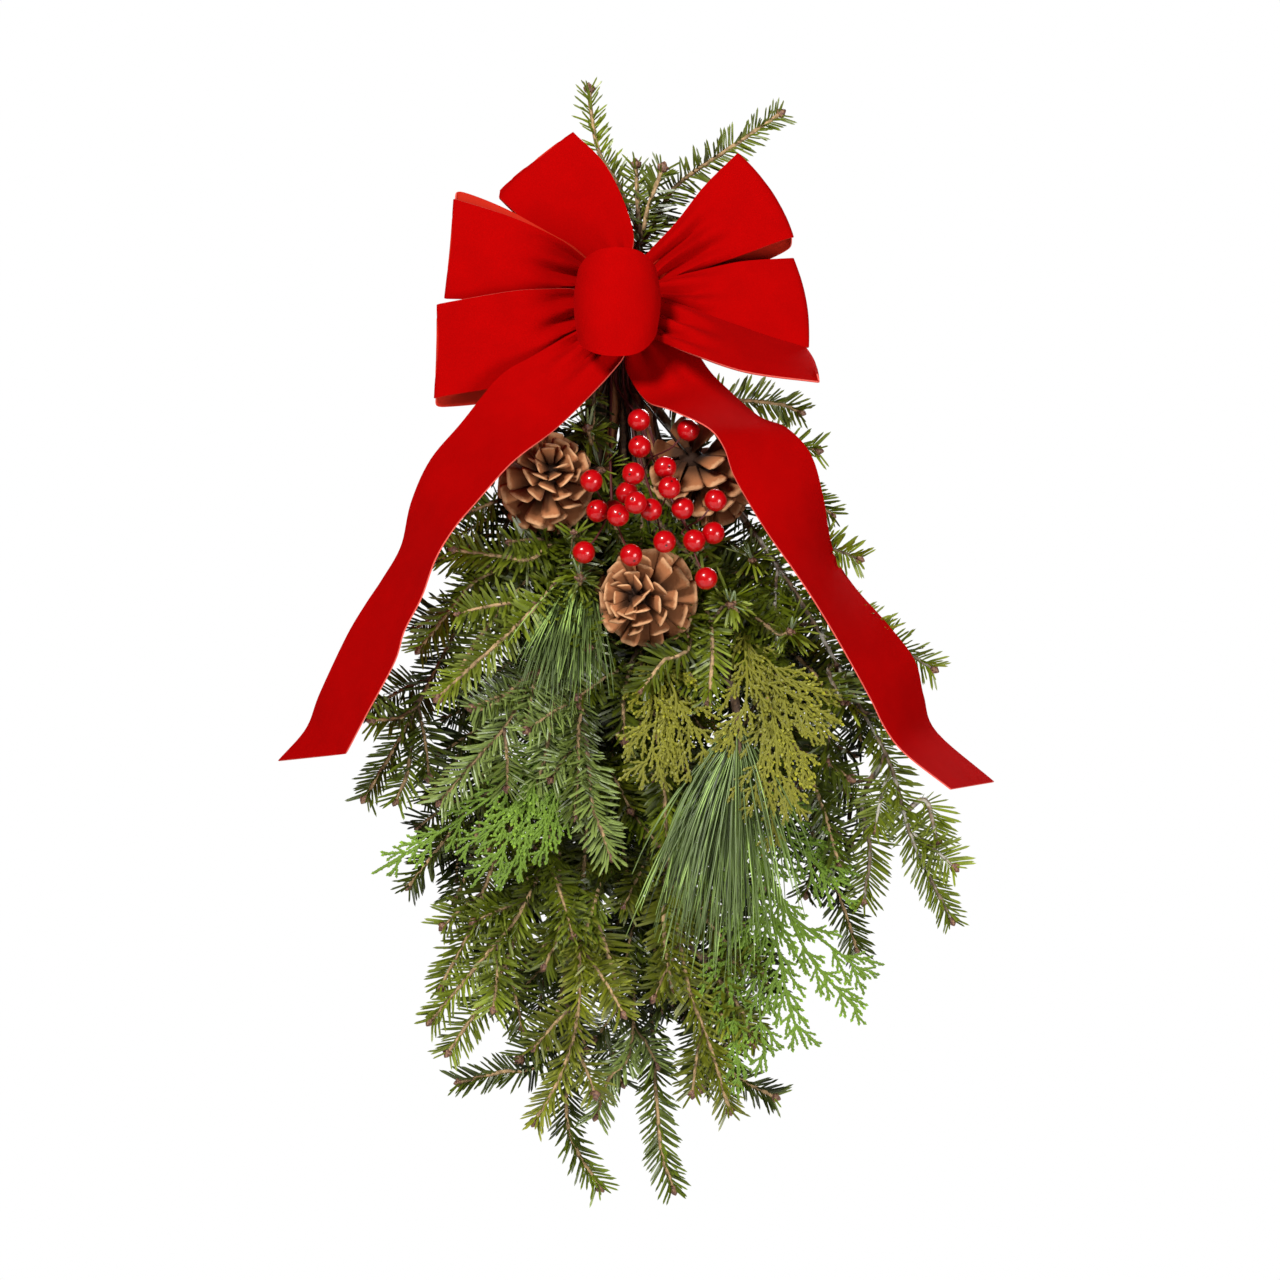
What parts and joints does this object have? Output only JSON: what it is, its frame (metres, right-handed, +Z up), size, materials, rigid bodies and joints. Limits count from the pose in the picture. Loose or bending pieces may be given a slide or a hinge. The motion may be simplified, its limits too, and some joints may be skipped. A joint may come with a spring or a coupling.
{
  "type": "christmas door swag",
  "caption": "Hanging door swag of evergreen cuttings tied in a bundle, with pine cones, berries and a looped ribbon bow with tails.",
  "frame": {"origin": "where the hanger's ring bears on its nail, at the top of the ring's hole", "axes": "+Z up along the hanging swag, -Y to the viewer in front of the door, +X to the viewer's right"},
  "size_m": [0.4553, 0.1382, 0.7075],
  "materials": {
    "fir_light": "light green fir needles on tan twigs",
    "fir_dark": "dark green fir needles",
    "fir_blue": "fir needles that show their bluish undersides",
    "fir_yellow": "yellow-green fir needles",
    "cedar_green": "flat green cedar sprays",
    "cedar_gold": "flat golden cedar sprays",
    "pine": "long soft pine needles",
    "cone": "dry woody scales with paler edges",
    "berry": "glossy red lacquer",
    "velvet": "red velvet ribbon with an orange-red lining",
    "wire": "thin dark craft wire"
  },
  "bodies": {
    "root": {"berries_left": "berry", "berries_middle": "berry", "berries_right": "berry", "berries_top": "berry", "binding_wire": "wire", "bow_centre_loop": "velvet", "bow_loop_lower_left": "velvet", "bow_loop_lower_right": "velvet", "bow_loop_middle_left": "velvet", "bow_loop_middle_right": "velvet", "bow_loop_upper_left": "velvet", "bow_loop_upper_right": "velvet", "bow_tail_left": "velvet", "bow_tail_right": "velvet", "bow_wire": "wire", "cedar_golden": "cedar_gold", "cedar_golden_low": "cedar_gold", "cedar_left": "cedar_green", "cedar_right": "cedar_green", "cone_centre": "cone", "cone_centre_wire": "wire", "cone_left": "cone", "cone_left_wire": "wire", "cone_right": "cone", "cone_right_wire": "wire", "fir_bottom_curved": "fir_dark", "fir_bottom_right": "fir_dark", "fir_bottom_right_tip": "fir_dark", "fir_centre": "fir_light", "fir_centre_left": "fir_blue", "fir_centre_low": "fir_dark", "fir_dark_bluish": "fir_blue", "fir_dark_side_twig": "fir_dark", "fir_front_left": "fir_light", "fir_front_right": "fir_light", "fir_left_bluish": "fir_blue", "fir_left_dark": "fir_dark", "fir_left_light": "fir_light", "fir_low_left": "fir_light", "fir_low_left_dark": "fir_dark", "fir_mid_right": "fir_dark", "fir_right_big": "fir_light", "fir_right_bottom": "fir_yellow", "fir_right_dark": "fir_dark", "fir_right_inner": "fir_dark", "fir_top_left": "fir_light", "fir_top_middle": "fir_dark", "fir_top_right": "fir_light", "fir_yellow_centre": "fir_yellow", "hanger": "wire", "pine_left": "pine", "pine_right": "pine"}
  },
  "joints": []
}
